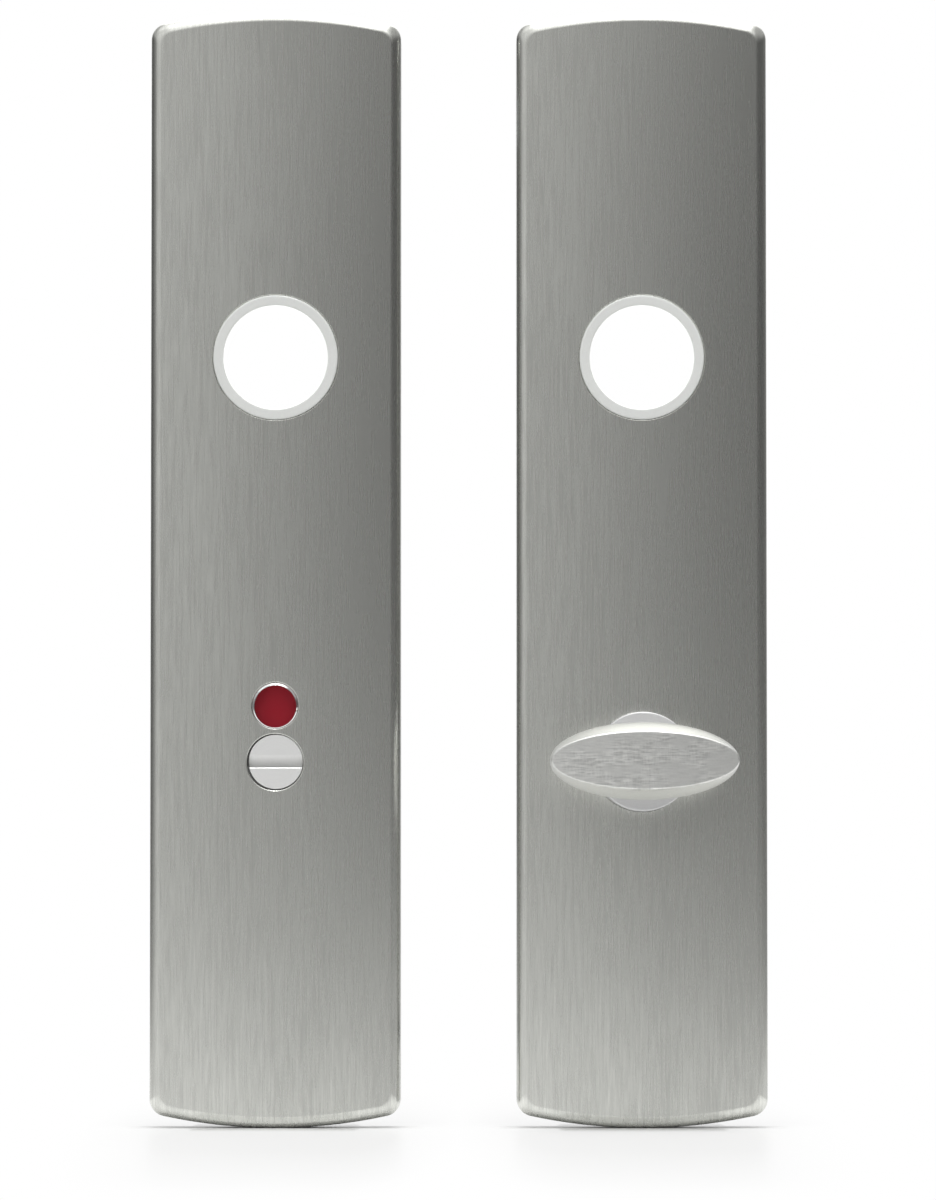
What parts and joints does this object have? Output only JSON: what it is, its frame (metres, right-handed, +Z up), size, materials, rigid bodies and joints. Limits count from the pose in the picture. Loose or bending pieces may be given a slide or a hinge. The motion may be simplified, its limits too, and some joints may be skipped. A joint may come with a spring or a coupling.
{
  "type": "toilet door handle set",
  "caption": "Pair of narrow arched door plates for a toilet lock: one with lever bush, red indicator window and coin release, the other with lever bush and oval thumbturn.",
  "frame": {"origin": "midway between the two plates, under the middle of the set's depth, on the surface that the plates stand on", "axes": "+Z up along the plates, +X to the right seen from the front, the plates' fronts face -Y and the door side faces +Y"},
  "size_m": [0.096, 0.074, 0.174],
  "materials": {
    "cover_brushed": "brushed along the plate, anodised",
    "carrier_nylon": "moulded, fine texture",
    "bush_nylon": "turned, satin",
    "window_clear": "clear, polished",
    "indicator_plastic": "moulded",
    "indicator_red": "gloss",
    "indicator_white": "gloss",
    "release_metal": "fine turned",
    "turn_metal": "satin, anodised",
    "spring_steel": "oiled",
    "zinc_steel": "zinc plated"
  },
  "bodies": {
    "root": {"outer_cover": "cover_brushed", "inner_cover": "cover_brushed", "outer_backplate": "carrier_nylon", "inner_backplate": "carrier_nylon", "outer_lever_bush": "bush_nylon", "inner_lever_bush": "bush_nylon", "window_lens": "window_clear", "release_spring_washer": "spring_steel", "thumbturn_spring_washer": "spring_steel", "outer_cover_clips": "spring_steel", "inner_cover_clips": "spring_steel", "outer_threaded_sleeves": "zinc_steel", "inner_fixing_bolts": "zinc_steel"},
    "coin_release": {"emergency_release": "release_metal", "indicator_disc": "indicator_plastic", "indicator_red_field": "indicator_red", "indicator_white_field": "indicator_white", "release_circlip": "spring_steel"},
    "thumbturn": {"thumbturn": "turn_metal", "thumbturn_spindle": "zinc_steel", "spindle_pin": "zinc_steel", "thumbturn_circlip": "spring_steel"}
  },
  "joints": [
    {"name": "release_turn", "type": "hinge", "parent": "root", "child": "coin_release", "pos_m": [-0.0285, -0.009, 0.0567], "axis": [0, 1, 0], "range_deg": [0, 90]},
    {"name": "thumbturn_turn", "type": "hinge", "parent": "root", "child": "thumbturn", "pos_m": [0.0285, -0.009, 0.0567], "axis": [0, -1, 0], "range_deg": [0, 90]}
  ]
}
